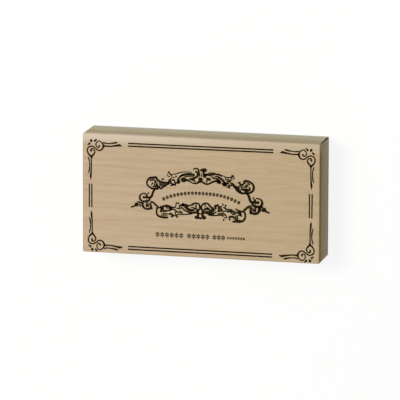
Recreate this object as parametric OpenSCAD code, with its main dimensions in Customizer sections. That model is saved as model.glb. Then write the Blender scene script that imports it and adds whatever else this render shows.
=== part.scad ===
// Wooden stamp box: a low lift-off lid over a tray that holds a set of small wood-block stamps.
// The case is built as one closed box, with mitred walls and a full-size panel glued on each face,
// and is then sawn apart into a lid and a base. A thin lip, glued inside the base, stands above
// the cut and keeps the lid in place. The stamps stand on end in rows and fill the tray.
// Origin: centre of the underside. X runs along the box, Y across it and Z up through the lid.

/* [Stamps] */
// Size of one stamp block along the box
stamp_w = 8.2; // [7:0.1:11]
// Size of one stamp block across the box
stamp_d = 10.5; // [8:0.1:13]
// Height of the wooden block of a stamp
block_h = 13.3; // [11:0.1:18]
// Thickness of the foam cushion under a block
foam_t = 1.5; // [1:0.1:2.5]
// Thickness of the rubber sheet that a die is cut from
die_sheet_t = 0.5; // [0.4:0.1:1]
// Height of the printing face above the rubber sheet
die_relief_h = 0.7; // [0.5:0.1:1.2]
// Margin of the printing face inside the rubber sheet
die_margin = 1.6; // [1:0.1:2.4]
// How far foam and rubber stay inside the sides of their block
foam_inset = 0.25; // [0.1:0.05:0.6]
// Chamfer round the top of a block
block_chamfer = 0.4; // [0.2:0.05:0.8]
// Free space between neighbouring stamps
stamp_gap = 0.3; // [0.2:0.05:0.8]
// Stamps in one row
stamps_per_row = 14; // [8:1:18]

/* [Case] */
// Thickness of the four walls
wall_t = 4; // [3:0.1:6]
// Thickness of the lid panel
lid_panel_t = 3.5; // [2.5:0.1:5]
// Thickness of the base panel
base_panel_t = 3; // [2:0.1:5]
// Height of the saw cut above the table
cut_h = 10; // [8:0.5:12]
// Free space between the stamps and the lid panel
headroom = 0.5; // [0.3:0.1:2]
// Radius of the sanded outer edges
edge_r = 0.8; // [0.4:0.1:1.5]
// Chamfer on both sides of the saw cut
cut_chamfer = 0.25; // [0.1:0.05:0.5]

/* [Lip] */
// Thickness of the lip strips
lip_t = 1.5; // [1.2:0.1:3]
// Height of the lip above the saw cut
lip_rise = 4; // [2:0.5:5]
// Running clearance between the lip and the lid walls
lip_gap = 0.25; // [0.15:0.05:0.5]
// Lead-in chamfer on the outer top edge of the lip
lip_lead = 0.7; // [0.3:0.1:0.9]

/* [Hidden] */
$fn = 48;

// Sides of the case, a quarter turn apart
SIDES = ["front", "right", "back", "left"];

// Rows of stamps, from the front of the box to its back
ROWS = 5;

// The tray is as large as its stamps, and the case follows from it
stamp_pitch_x = stamp_w + stamp_gap;
stamp_pitch_y = stamp_d + stamp_gap;
box_l = stamps_per_row * stamp_pitch_x + 2 * (lip_t + wall_t);
box_w = ROWS * stamp_pitch_y + 2 * (lip_t + wall_t);

// Levels above the table
die_h = die_sheet_t + die_relief_h;
foam_z = base_panel_t + die_h;
block_z = foam_z + foam_t;
stamp_top = block_z + block_h;
lid_panel_z = stamp_top + headroom;
box_h = lid_panel_z + lid_panel_t;
lip_top = cut_h + lip_rise;

function is_long(side) = side == "front" || side == "back";
function side_length(side) = is_long(side) ? box_l : box_w;
function side_span(side) = is_long(side) ? box_w : box_l;

// Rectangle from corner to corner, rounded at the corners that are asked for
module rounded_rectangle(size, r, lower_r, upper_r) {
  a = lower_r ? r : 0;
  b = upper_r ? r : 0;
  translate([r, 0]) square([size.x - 2 * r, size.y]);
  translate([0, a]) square([size.x, size.y - a - b]);
  for (x = [r, size.x - r]) {
    if (lower_r) translate([x, r]) circle(r);
    if (upper_r) translate([x, size.y - r]) circle(r);
  }
}

// Outline of the box seen from above
module case_plan() {
  translate([-box_l / 2, -box_w / 2]) rounded_rectangle([box_l, box_w], edge_r, true, true);
}

// Puts a strip, drawn with its outer face on y = 0, on one side of the box
module on_side(side) {
  turns = search([side], SIDES)[0];
  rotate([0, 0, 90 * turns]) translate([0, -side_span(side) / 2, 0]) children();
}

// A strip along one side: its cross section, drawn as depth and height, with a mitre at each end
module mitred_strip(side, depth) {
  half = side_length(side) / 2;
  intersection() {
    rotate([90, 0, 90]) linear_extrude(2 * half, center = true) children();
    linear_extrude(box_h) polygon([[-half, 0], [half, 0], [half - depth, depth], [depth - half, depth]]);
  }
}

// A wall of the case between two heights, with the arrises of the saw cut taken off
module wall(side, low, high, cut_below) {
  c = cut_chamfer;
  section = cut_below
    ? [[0, low + c], [c, low], [wall_t - c, low], [wall_t, low + c], [wall_t, high], [0, high]]
    : [[0, low], [wall_t, low], [wall_t, high - c], [wall_t - c, high], [c, high], [0, high - c]];
  intersection() {
    on_side(side) mitred_strip(side, wall_t) polygon(section);
    linear_extrude(box_h) case_plan();
  }
}

// A panel that covers the whole case, with its outer edges rounded all round
module panel(low, thickness, round_top) {
  intersection() {
    translate([0, 0, low]) linear_extrude(thickness) case_plan();
    translate([0, box_w / 2, low]) rotate([90, 0, 0]) linear_extrude(box_w)
      translate([-box_l / 2, 0]) rounded_rectangle([box_l, thickness], edge_r, !round_top, round_top);
    translate([-box_l / 2, 0, low]) rotate([90, 0, 90]) linear_extrude(box_l)
      translate([-box_w / 2, 0]) rounded_rectangle([box_w, thickness], edge_r, !round_top, round_top);
  }
}

// A lip strip: it is glued to the base wall up to the saw cut, and planed back above it
module lip(side) {
  outer = wall_t;
  inner = wall_t + lip_t;
  relieved = outer + lip_gap;
  color("burlywood")
    on_side(side) mitred_strip(side, inner)
      polygon([
        [outer, base_panel_t], [inner, base_panel_t], [inner, lip_top],
        [relieved + lip_lead, lip_top], [relieved, lip_top - lip_lead], [relieved, cut_h], [outer, cut_h]
      ]);
}

module base_wall(side) {
  color("tan") wall(side, base_panel_t, cut_h, false);
}

module lid_wall(side) {
  color("tan") wall(side, cut_h, lid_panel_z, true);
}

module base_panel() {
  color("wheat") panel(0, base_panel_t, false);
}

module lid_panel() {
  color("burlywood") panel(lid_panel_z, lid_panel_t, true);
}

// Repeats its children at each stamp of a row, which is counted from the front
module along_row(row) {
  for (i = [0 : stamps_per_row - 1])
    translate([
      (i - (stamps_per_row - 1) / 2) * stamp_pitch_x,
      (row - (ROWS + 1) / 2) * stamp_pitch_y,
      0
    ])
      children();
}

// A plain block centred on the axis, as large as the stamp less a margin on each side
module stamp_slab(margin, low, thickness) {
  size = [stamp_w - 2 * margin, stamp_d - 2 * margin, thickness];
  translate([-size.x / 2, -size.y / 2, low]) cube(size);
}

// The rubber die: the printing face points down and stands on the base panel
module stamp_dies(row) {
  color("firebrick") along_row(row) union() {
    stamp_slab(foam_inset + die_margin, base_panel_t, die_relief_h);
    stamp_slab(foam_inset, base_panel_t + die_relief_h, die_sheet_t);
  }
}

module stamp_foams(row) {
  color("dimgray") along_row(row) stamp_slab(foam_inset, foam_z, foam_t);
}

// Outline of a block seen from one side, with the chamfer on its top edges
module block_outline(width) {
  half = width / 2;
  c = block_chamfer;
  polygon([[-half, 0], [half, 0], [half, block_h - c], [half - c, block_h], [c - half, block_h],
    [-half, block_h - c]]);
}

module stamp_blocks(row) {
  color("blanchedalmond") along_row(row) translate([0, 0, block_z]) intersection() {
    rotate([90, 0, 0]) linear_extrude(stamp_d, center = true) block_outline(stamp_w);
    rotate([90, 0, 90]) linear_extrude(stamp_w, center = true) block_outline(stamp_d);
  }
}

base_panel();
base_wall("front");  // base_front_wall
base_wall("right");  // base_right_wall
base_wall("back");  // base_back_wall
base_wall("left");  // base_left_wall
lip("front");  // lip_front
lip("right");  // lip_right
lip("back");  // lip_back
lip("left");  // lip_left
stamp_dies(1);  // stamp_dies_row_1
stamp_dies(2);  // stamp_dies_row_2
stamp_dies(3);  // stamp_dies_row_3
stamp_dies(4);  // stamp_dies_row_4
stamp_dies(5);  // stamp_dies_row_5
stamp_foams(1);  // stamp_foams_row_1
stamp_foams(2);  // stamp_foams_row_2
stamp_foams(3);  // stamp_foams_row_3
stamp_foams(4);  // stamp_foams_row_4
stamp_foams(5);  // stamp_foams_row_5
stamp_blocks(1);  // stamp_blocks_row_1
stamp_blocks(2);  // stamp_blocks_row_2
stamp_blocks(3);  // stamp_blocks_row_3
stamp_blocks(4);  // stamp_blocks_row_4
stamp_blocks(5);  // stamp_blocks_row_5
lid_panel();
lid_wall("front");  // lid_front_wall
lid_wall("right");  // lid_right_wall
lid_wall("back");  // lid_back_wall
lid_wall("left");  // lid_left_wall
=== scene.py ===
"""Stamp box: a low wooden case with a printed lift-off lid over a tray of seventy small stamps."""
import math
import random

import bpy
from mathutils import Matrix, Vector


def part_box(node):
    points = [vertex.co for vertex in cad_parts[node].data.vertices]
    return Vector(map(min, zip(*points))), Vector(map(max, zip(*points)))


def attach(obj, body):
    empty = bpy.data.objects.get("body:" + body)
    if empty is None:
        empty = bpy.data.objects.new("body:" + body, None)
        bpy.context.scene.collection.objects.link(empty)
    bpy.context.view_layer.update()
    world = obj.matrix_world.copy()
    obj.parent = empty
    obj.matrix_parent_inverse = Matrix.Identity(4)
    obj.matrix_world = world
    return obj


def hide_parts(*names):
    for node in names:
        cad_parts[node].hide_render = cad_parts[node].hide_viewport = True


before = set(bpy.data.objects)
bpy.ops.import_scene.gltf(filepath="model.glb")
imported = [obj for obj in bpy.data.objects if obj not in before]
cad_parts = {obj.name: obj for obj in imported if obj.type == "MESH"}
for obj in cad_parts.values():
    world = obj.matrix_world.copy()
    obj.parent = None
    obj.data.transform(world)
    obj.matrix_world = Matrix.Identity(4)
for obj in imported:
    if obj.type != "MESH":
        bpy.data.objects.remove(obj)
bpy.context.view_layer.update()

# Camera
# It looks down on the lid from beyond its back right corner through a long lens, so that the lid
# fills the picture and only narrow strips of the back side and of the right-hand end show.
camera = bpy.data.objects.new("camera", bpy.data.cameras.new("camera"))
bpy.context.scene.collection.objects.link(camera)
looking = Vector((-0.2225, -0.2036, -0.9534)).normalized()
rightwards = looking.cross(Vector((-0.0497, 0.9791, -0.1974))).normalized()
upwards = rightwards.cross(looking)
camera.matrix_world = (Matrix.Translation((0.6489, 0.5932, 2.8049))
                       @ Matrix((rightwards, upwards, -looking)).transposed().to_4x4())
camera.data.sensor_width = 36
camera.data.lens = 492.2
# Far enough to see the whole table top
camera.data.clip_end = 20
bpy.context.scene.camera = camera
bpy.context.scene.view_settings.view_transform = "Standard"


# Table and light
# The box lies on a plain pale table top, under one broad soft lamp to the left and behind it, and
# in the light of a pale room. The camera sees the table as white, with the shadow of the box on it.
def linear(code):
    """The linear colour, with full alpha, of an sRGB hex code."""
    parts = [int(code[i:i + 2], 16) / 255 for i in (1, 3, 5)]
    return [c / 12.92 if c <= 0.04045 else ((c + 0.055) / 1.055) ** 2.4 for c in parts] + [1]


def fill(node, sockets):
    """Fills sockets of a node with values, or with links from other nodes."""
    for socket, value in sockets.items():
        if isinstance(value, bpy.types.NodeSocket):
            node.id_data.links.new(value, node.inputs[socket])
        else:
            node.inputs[socket].default_value = value


def add_node(tree, kind, sockets, result=0, **settings):
    """Adds one node with its settings, fills its sockets, and returns one output, if it has any."""
    made = tree.nodes.new("ShaderNode" + kind)
    for name, value in settings.items():
        setattr(made, name, value)
    fill(made, sockets)
    return made.outputs[result] if made.outputs else None


def seen_directly(tree):
    """1 for what the camera sees, also by a reflection or through glass, and 0 for light on the box."""
    rays = add_node(tree, "LightPath", {}).node.outputs
    either = add_node(tree, "Math", {0: rays["Is Camera Ray"], 1: rays["Is Glossy Ray"]}, operation="MAXIMUM")
    return add_node(tree, "Math", {0: either, 1: rays["Is Transmission Ray"]}, operation="MAXIMUM")


table_paint = bpy.data.materials.new("white_table_laminate")
table_paint.use_nodes = True
tree = table_paint.node_tree
tree.nodes.clear()
# Melamine laminate, pressed smooth and matt: plain white to the eye. It takes light and shadow in a
# small share of its colour, and throws less light up at the box than its white would
seen = seen_directly(tree)
share = add_node(tree, "Math", {0: seen, 1: 0.87}, operation="MULTIPLY")
paint = add_node(tree, "Mix", {0: seen, 6: linear("#ADADAB"), 7: linear("#FFFFFF")}, result=2,
                 data_type="RGBA")
pale = add_node(tree, "BsdfDiffuse", {"Color": paint})
white = add_node(tree, "Emission", {"Color": linear("#FFFFFF"), "Strength": 1.0})
mixed = add_node(tree, "MixShader", {0: share, 1: pale, 2: white})
add_node(tree, "OutputMaterial", {"Surface": mixed})

bpy.ops.object.select_all(action="DESELECT")
bpy.ops.mesh.primitive_plane_add(size=4, location=(0, 0, 0))
table_top = bpy.context.object
table_top.name = "table_top"
table_top.data.materials.append(table_paint)

room = bpy.data.worlds.new("pale_room")
bpy.context.scene.world = room
room.use_nodes = True
tree = room.node_tree
tree.nodes.clear()
dim = add_node(tree, "Background", {"Color": linear("#F4F7FA"), "Strength": 0.32})
bright = add_node(tree, "Background", {"Color": linear("#FFFFFF"), "Strength": 1.0})
mixed = add_node(tree, "MixShader", {0: seen_directly(tree), 1: dim, 2: bright})
add_node(tree, "OutputWorld", {"Surface": mixed})

# The softbox, a disk 0.84 m across, hangs 2 m from the box and points at it
lamp_place = Vector((-0.74, 0.57, 1.82))
bpy.ops.object.light_add(type="AREA", location=lamp_place)
lamp = bpy.context.object
lamp.name = "softbox"
lamp.data.shape = "DISK"
lamp.data.size = 0.84
lamp.data.energy = 33.8
lamp.data.color = linear("#FFFBF3")[:3]
lamp.rotation_euler = lamp_place.to_track_quat("Z", "Y").to_euler()


# Base panel
# A board of lime wood, planed to 3 mm, which closes the case from below over its whole footprint.
# It is glued under the walls, and its edges are sanded round together with theirs.
def parts_of(finish):
    """A material's node tree, its shader, and the place on the piece that each point of it paints."""
    tree = finish.node_tree
    return tree, tree.nodes["Principled BSDF"], add_node(tree, "TexCoord", {}, result="Object")


def new_finish(name):
    """A new material and its parts."""
    made = bpy.data.materials.new(name)
    made.use_nodes = True
    return made, *parts_of(made)


def lime_wood(name, turn, heart, pale, dark, ring=0.0021, end_shade="#DCDCDC"):
    """Lime wood, planed, sanded and rubbed with a thin matt lacquer. The eye sees a fine even grain of
    pale and darker streaks along the board, soft growth rings, and darker end grain with tiny pores.
    turn lays the grain along the board, heart is where the middle of the tree lies from the board, in
    metres, ring is the width of one year's growth, and end_shade is multiplied on the end grain."""
    made, tree, shader, place = new_finish(name)
    along = add_node(tree, "Mapping", {"Vector": place, "Rotation": turn, "Location": heart})
    # Slow bends of the tree, some 70 mm long, which make the rings wander
    bends = add_node(tree, "VectorMath", {0: along, 1: (14, 70, 70)}, operation="MULTIPLY")
    sway = add_node(tree, "TexNoise", {"Vector": bends, "Scale": 1.0, "Detail": 2.0, "Roughness": 0.45})
    across = add_node(tree, "VectorMath", {0: along, 1: (0, 1, 1)}, operation="MULTIPLY")
    radius = add_node(tree, "VectorMath", {0: across}, result="Value", operation="LENGTH")
    swayed = add_node(tree, "Math", {0: sway, 1: 0.0022, 2: radius}, operation="MULTIPLY_ADD")
    year = add_node(tree, "Math", {0: swayed, 1: 2 * math.pi / ring}, operation="MULTIPLY")
    wave = add_node(tree, "Math", {0: year}, operation="SINE")
    rings = add_node(tree, "MapRange", {"Value": wave, "From Min": -0.6, "From Max": 1.0},
                     interpolation_type="SMOOTHSTEP")
    # Streaks 2 mm wide, and bundles of fibre drawn 0.5 mm wide so that they show
    broad = add_node(tree, "VectorMath", {0: along, 1: (24, 500, 500)}, operation="MULTIPLY")
    streaks = add_node(tree, "TexNoise", {"Vector": broad, "Scale": 1.0, "Detail": 3.0, "Roughness": 0.55})
    fine = add_node(tree, "VectorMath", {0: along, 1: (110, 1900, 1900)}, operation="MULTIPLY")
    fibres = add_node(tree, "TexNoise", {"Vector": fine, "Scale": 1.0, "Detail": 2.0, "Roughness": 0.6})
    # Pores: cut tubes 0.2 mm wide and up to 2 mm long
    short = add_node(tree, "VectorMath", {0: along, 1: (420, 5200, 5200)}, operation="MULTIPLY")
    specks = add_node(tree, "TexNoise", {"Vector": short, "Scale": 1.0, "Detail": 1.0})
    pores = add_node(tree, "MapRange", {"Value": specks, "From Min": 0.66, "From Max": 0.78, "To Max": 0.4})
    tone = add_node(tree, "Math", {0: streaks, 1: 0.9, 2: -0.4}, operation="MULTIPLY_ADD")
    tone = add_node(tree, "Math", {0: fibres, 1: 0.97, 2: tone}, operation="MULTIPLY_ADD")
    tone = add_node(tree, "Math", {0: rings, 1: 0.13, 2: tone}, operation="MULTIPLY_ADD")
    tone = add_node(tree, "Math", {0: tone, 1: pores}, operation="ADD", use_clamp=True)
    colour = add_node(tree, "Mix", {0: tone, 6: linear(pale), 7: linear(dark)}, result=2, data_type="RGBA")
    # End grain drinks more lacquer and looks darker
    facing = add_node(tree, "TexCoord", {}, result="Normal")
    turned = add_node(tree, "Mapping", {"Vector": facing, "Rotation": turn}, vector_type="NORMAL")
    ends = add_node(tree, "SeparateXYZ", {0: turned}, result="X")
    ends = add_node(tree, "Math", {0: ends}, operation="ABSOLUTE")
    ends = add_node(tree, "MapRange", {"Value": ends, "From Min": 0.35, "From Max": 0.95, "To Max": 1.0})
    shade = add_node(tree, "Mix", {0: ends, 6: (1, 1, 1, 1), 7: linear(end_shade)}, result=2,
                     data_type="RGBA")
    colour = add_node(tree, "Mix", {0: 1.0, 6: colour, 7: shade}, result=2, data_type="RGBA",
                      blend_type="MULTIPLY")
    rough = add_node(tree, "MapRange", {"Value": fibres, "To Min": 0.52, "To Max": 0.68})
    relief = add_node(tree, "Math", {0: fibres, 1: rings}, operation="ADD")
    bump = add_node(tree, "Bump", {"Height": relief, "Strength": 0.45, "Distance": 0.00003})
    fill(shader, {"Base Color": colour, "Roughness": rough, "Normal": bump, "Specular IOR Level": 0.1})
    return made


# The two ways that the grain of a board lies in the box
along_box = (0, 0, 0)
across_box = (0, 0, math.pi / 2)


def dress(node, finish):
    """Gives a CAD piece its finish."""
    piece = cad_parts[node]
    piece.data.materials.clear()
    piece.data.materials.append(finish)


# Its pale greyish colour, with end grain hardly darker, is partly the board's own and partly painted light
# bounced up from the table
dress("base_panel", lime_wood("lime_base_board", along_box, (0.31, 0.021, 0.052), "#E6E0D0", "#D7CEB9",
                              end_shade="#F6F2EA"))


# Walls of the case
# Four strips of lime wood, 4 mm thick, mitred and glued into a ring, and sawn into a base ring and
# a lid ring once the case was closed: the grain of each side runs on across the saw cut.
walls_foot, walls_top = 0.003, 0.0195
# On a mitre, the distances from the middle of the box along it and across it differ by this much
mitre_offset = 0.0325


def side_wood(name, turn, heart, pale, dark, shaded_upper_edge, painted_mitre_gap=False):
    """The wood of one side, with its glue lines: hairlines at the panels and at the mitres. It is painted
    paler towards its lower edge, as bounce light, and browner towards its upper edge, as shade. The mitre
    at the back right corner has opened towards the base, and the shade in its gap is painted as a dark wedge."""
    made = lime_wood(name, turn, heart, pale, dark, end_shade="#E7E7E7")
    tree, shader, place = parts_of(made)
    plain = shader.inputs["Base Color"].links[0].from_socket
    place = add_node(tree, "SeparateXYZ", {0: place}).node.outputs
    # Painted light and shade: each side is paler and greyer towards its lower edge, as light bounced up from
    # the table, and browner towards its upper edge, as shade
    painted_bounce_mask = add_node(tree, "MapRange", {"Value": place["Z"], "From Min": 0.014, "From Max": 0.0,
                                      "To Max": 0.7}, interpolation_type="SMOOTHSTEP")
    plain = add_node(tree, "Mix", {0: painted_bounce_mask, 6: plain, 7: linear("#E2DCC9")}, result=2, data_type="RGBA")
    painted_shade_mask = add_node(tree, "MapRange", {"Value": place["Z"], "From Min": 0.011, "From Max": 0.021,
                                        "To Max": 0.8}, interpolation_type="SMOOTHSTEP")
    plain = add_node(tree, "Mix", {0: painted_shade_mask, 6: plain, 7: linear(shaded_upper_edge)}, result=2, data_type="RGBA")
    # Glue lines, drawn 0.24 mm wide at the panels and 0.1 mm at the mitres so that they show
    lower = add_node(tree, "Math", {0: place["Z"], 1: walls_foot, 2: 0.00012}, operation="COMPARE")
    upper = add_node(tree, "Math", {0: place["Z"], 1: walls_top, 2: 0.00012}, operation="COMPARE")
    lines = add_node(tree, "Math", {0: lower, 1: upper}, operation="MAXIMUM")
    wide = add_node(tree, "Math", {0: place["X"]}, operation="ABSOLUTE")
    deep = add_node(tree, "Math", {0: place["Y"]}, operation="ABSOLUTE")
    apart = add_node(tree, "Math", {0: wide, 1: deep}, operation="SUBTRACT")
    mitre = add_node(tree, "Math", {0: apart, 1: mitre_offset, 2: 0.00007}, operation="COMPARE")
    lines = add_node(tree, "Math", {0: lines, 1: mitre}, operation="MAXIMUM")
    colour = add_node(tree, "Mix", {0: lines, 6: plain, 7: linear("#7C6849")}, result=2, data_type="RGBA")
    # The mitre at the back right corner is not cut open: the shade in its gap is painted as a dark wedge,
    # wider towards the base
    if painted_mitre_gap:
        off = add_node(tree, "Math", {0: place["X"], 1: place["Y"]}, operation="SUBTRACT")
        off = add_node(tree, "Math", {0: off, 1: mitre_offset}, operation="SUBTRACT")
        off = add_node(tree, "Math", {0: off}, operation="ABSOLUTE")
        half = add_node(tree, "MapRange", {"Value": place["Z"], "From Min": walls_foot,
                                           "From Max": walls_top, "To Min": 0.0008, "To Max": 0.0003})
        gap_shade_mask = add_node(tree, "Math", {0: off, 1: half}, operation="LESS_THAN")
        colour = add_node(tree, "Mix", {0: gap_shade_mask, 6: colour, 7: linear("#2B2013")}, result=2,
                          data_type="RGBA")
    fill(shader, {"Base Color": colour})
    return made


# The last colour of each side is the painted shade towards its upper edge
side_woods = {
    "front": side_wood("lime_front_side", along_box, (0.07, -0.018, 0.047),
                       "#D2BF9C", "#B9A27A", "#BDA173"),
    "right": side_wood("lime_right_end", across_box, (0.19, -0.051, 0.024),
                       "#CFBC93", "#B39A69", "#B09364", painted_mitre_gap=True),
    "back": side_wood("lime_back_side", along_box, (0.43, 0.023, 0.038),
                      "#D5C9AA", "#BDAE89", "#BFA677", painted_mitre_gap=True),
    "left": side_wood("lime_left_end", across_box, (0.55, 0.043, -0.033),
                      "#D2BF9C", "#B9A27A", "#BDA173"),
}
for side, finish in side_woods.items():
    dress(f"base_{side}_wall", finish)

# Lip
# Thin strips of the same wood, glued inside the base walls up to the saw cut and planed back above
# it, so that the lid slips over them. They are sawn, not sanded or lacquered: fine saw marks show.
for name, turn, heart, strips in (
        ("lime_lip_strip", along_box, (0.11, 0.033, 0.027), ("lip_front", "lip_back")),
        ("lime_lip_cross_strip", across_box, (0.27, 0.037, 0.029), ("lip_right", "lip_left"))):
    finish = lime_wood(name, turn, heart, "#DCCAA6", "#C2AA80", end_shade="#F2EFE6")
    tree, shader, place = parts_of(finish)
    # The saw's teeth leave a mark every 0.9 mm
    marks = add_node(tree, "TexWave", {"Vector": place, "Scale": 350.0, "Distortion": 1.5, "Detail": 1.0},
                     wave_type="BANDS", bands_direction="Z")
    bump = add_node(tree, "Bump", {"Height": marks, "Strength": 0.3, "Distance": 0.00004,
                                   "Normal": shader.inputs["Normal"].links[0].from_socket})
    rough = add_node(tree, "MapRange", {"Value": marks, "To Min": 0.72, "To Max": 0.85})
    fill(shader, {"Normal": bump, "Roughness": rough})
    for strip in strips:
        dress(strip, finish)

# Stamp blocks
# Seventy little blocks of birch, sawn from square sticks, so that their tops show end grain. Each is
# sanded by hand and stands a little its own way in the tray, in five rows of fourteen.
across_pitch, deep_pitch = 0.0085, 0.0108
block_tall = 0.0133
block_size = Vector((0.0082, 0.0105, block_tall))
block_foot = 0.0057
block_top = block_foot + block_tall
per_row = 14
rows = [[Vector(((i - (per_row - 1) / 2) * across_pitch, (row - 3) * deep_pitch, 0)) for i in range(per_row)]
        for row in (1, 2, 3, 4, 5)]


def only(piece):
    """Makes one piece the only one selected, and the active one."""
    bpy.ops.object.select_all(action="DESELECT")
    piece.select_set(True)
    bpy.context.view_layer.objects.active = piece


def block_like(name, size, centre):
    """A cube whose mesh has the size of the piece and lies at its place."""
    bpy.ops.object.select_all(action="DESELECT")
    bpy.ops.mesh.primitive_cube_add(size=1, location=(0, 0, 0))
    piece = bpy.context.object
    piece.name = name
    piece.data.name = name
    piece.data.transform(Matrix.Translation(centre) @ Matrix.Diagonal((*size, 1)))
    return piece


def soften(piece, width, steps, wanted):
    """Bevels the edges that wanted accepts, by the two ends of each edge."""
    only(piece)
    bpy.ops.object.mode_set(mode="EDIT")
    bpy.ops.mesh.select_mode(type="EDGE")
    bpy.ops.mesh.select_all(action="DESELECT")
    bpy.ops.object.mode_set(mode="OBJECT")
    for edge in piece.data.edges:
        edge.select = wanted(*(piece.data.vertices[v].co for v in edge.vertices))
    bpy.ops.object.mode_set(mode="EDIT")
    bpy.ops.mesh.bevel(offset=width, offset_type="OFFSET", segments=steps, profile=0.5, affect="EDGES")
    bpy.ops.object.mode_set(mode="OBJECT")


def joined(name, pieces):
    """Joins several pieces into one, which keeps their places in its mesh."""
    bpy.ops.object.select_all(action="DESELECT")
    for piece in pieces:
        piece.select_set(True)
    bpy.context.view_layer.objects.active = pieces[0]
    bpy.ops.object.join()
    whole = bpy.context.object
    whole.name = name
    whole.data.name = name
    return whole


def copy_of(piece, place):
    """A copy of a piece with its own mesh, moved to its place."""
    copy = piece.copy()
    copy.data = piece.data.copy()
    bpy.context.scene.collection.objects.link(copy)
    copy.data.transform(place)
    return copy


birch, tree, shader, place = new_finish("birch_end_grain")
# Birch, cut square and sanded: pale, each block its own tint, rings and dots on top, fibres on the
# sides. Each block has its own cell of the pattern, which is counted from the front left corner
cell = add_node(tree, "VectorMath", {0: place, 1: (1 / across_pitch, 1 / deep_pitch, 0)},
                operation="MULTIPLY")
cell = add_node(tree, "VectorMath", {0: cell, 1: (7, 2.5, 0)}, operation="ADD")
own = add_node(tree, "VectorMath", {0: cell}, operation="FLOOR")
chance = add_node(tree, "TexWhiteNoise", {"Vector": own}, result="Value", noise_dimensions="2D")
spread = add_node(tree, "TexWhiteNoise", {"Vector": own}, result="Color", noise_dimensions="2D")
# The heart of each block's tree lies somewhere within 40 mm of the block
heart = add_node(tree, "VectorMath", {0: spread, 1: (-0.5, -0.5, -0.5)}, operation="ADD")
heart = add_node(tree, "VectorMath", {0: heart, "Scale": 0.08}, operation="SCALE")
local = add_node(tree, "VectorMath", {0: cell}, operation="FRACTION")
local = add_node(tree, "VectorMath", {0: local, 1: (across_pitch, deep_pitch, 0)}, operation="MULTIPLY")
local = add_node(tree, "VectorMath", {0: local, 1: heart}, operation="ADD")
flat = add_node(tree, "VectorMath", {0: local, 1: (1, 1, 0)}, operation="MULTIPLY")
radius = add_node(tree, "VectorMath", {0: flat}, result="Value", operation="LENGTH")
sway = add_node(tree, "TexNoise", {"Vector": place, "Scale": 180.0, "Detail": 1.0})
radius = add_node(tree, "Math", {0: sway, 1: 0.0012, 2: radius}, operation="MULTIPLY_ADD")
# One year's ring is 1.3 mm wide, and the fibres are drawn 0.4 mm wide so that they show
year = add_node(tree, "Math", {0: radius, 1: 2 * math.pi / 0.0013}, operation="MULTIPLY")
wave = add_node(tree, "Math", {0: year}, operation="SINE")
rings = add_node(tree, "MapRange", {"Value": wave, "From Min": -0.2, "From Max": 1.0},
                 interpolation_type="SMOOTHSTEP")
fine = add_node(tree, "VectorMath", {0: place, 1: (2600, 2600, 60)}, operation="MULTIPLY")
fibres = add_node(tree, "TexNoise", {"Vector": fine, "Scale": 1.0, "Detail": 2.0})
tint = add_node(tree, "Mix", {0: chance, 6: linear("#E6D0A9"), 7: linear("#D0B285")}, result=2,
                data_type="RGBA")
darker = add_node(tree, "Math", {0: fibres, 1: 0.45, 2: -0.12}, operation="MULTIPLY_ADD")
darker = add_node(tree, "Math", {0: rings, 1: 0.2, 2: darker}, operation="MULTIPLY_ADD", use_clamp=True)
colour = add_node(tree, "Mix", {0: darker, 6: tint, 7: linear("#9C7B4E")}, result=2, data_type="RGBA")
rough = add_node(tree, "MapRange", {"Value": fibres, "To Min": 0.55, "To Max": 0.7})
bump = add_node(tree, "Bump", {"Height": darker, "Strength": 0.35, "Distance": 0.00004})
fill(shader, {"Base Color": colour, "Roughness": rough, "Normal": bump, "Specular IOR Level": 0.35})

first_block = block_like("stamp_block", block_size, (0, 0, block_foot + block_size.z / 2))
# The top edges are chamfered, and the upright ones are only broken
soften(first_block, width=0.0004, steps=1, wanted=lambda a, b: min(a.z, b.z) > block_top - 0.0001)
soften(first_block, width=0.0002, steps=2, wanted=lambda a, b: abs(a.z - b.z) > 0.005)
first_block.data.materials.append(birch)
# A block leans by half a degree and stands off its place by a twentieth of a millimetre at most
hand = random.Random(7)
most_lean, most_shift = 0.5, 0.00005
block_poses = []
for row, stands in enumerate(rows, start=1):
    blocks = []
    for stand in stands:
        lean = Matrix.Rotation(math.radians(hand.uniform(-most_lean, most_lean)), 4, "Z")
        shift = Vector([hand.uniform(-most_shift, most_shift) for axis in "xy"] + [0])
        pose = Matrix.Translation(stand + shift) @ lean
        block_poses.append(pose)
        blocks.append(copy_of(first_block, pose))
    row_piece = joined(f"stamp_blocks_{row}", blocks)
    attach(row_piece, "base")
    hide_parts(f"stamp_blocks_row_{row}")
bpy.data.objects.remove(first_block)

# Foam cushions
# Each block stands on a pad of closed-cell foam, 1.5 mm thick, die-cut and stuck on with its own
# adhesive. The pad gives a little when the stamp is pressed, and its cut sides bulge slightly.
foam, tree, shader, place = new_finish("closed_cell_foam")
# Foamed polyethylene, dark grey and matt: burst cells 0.3 mm wide show on the cut sides
cells = add_node(tree, "TexVoronoi", {"Vector": place, "Scale": 3200.0}, result="Distance")
colour = add_node(tree, "Mix", {0: cells, 6: linear("#5B5B5E"), 7: linear("#2F2F31")}, result=2,
                  data_type="RGBA")
bump = add_node(tree, "Bump", {"Height": cells, "Strength": 0.6, "Distance": 0.00008})
fill(shader, {"Base Color": colour, "Normal": bump, "Roughness": 0.9, "Specular IOR Level": 0.2})

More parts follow.
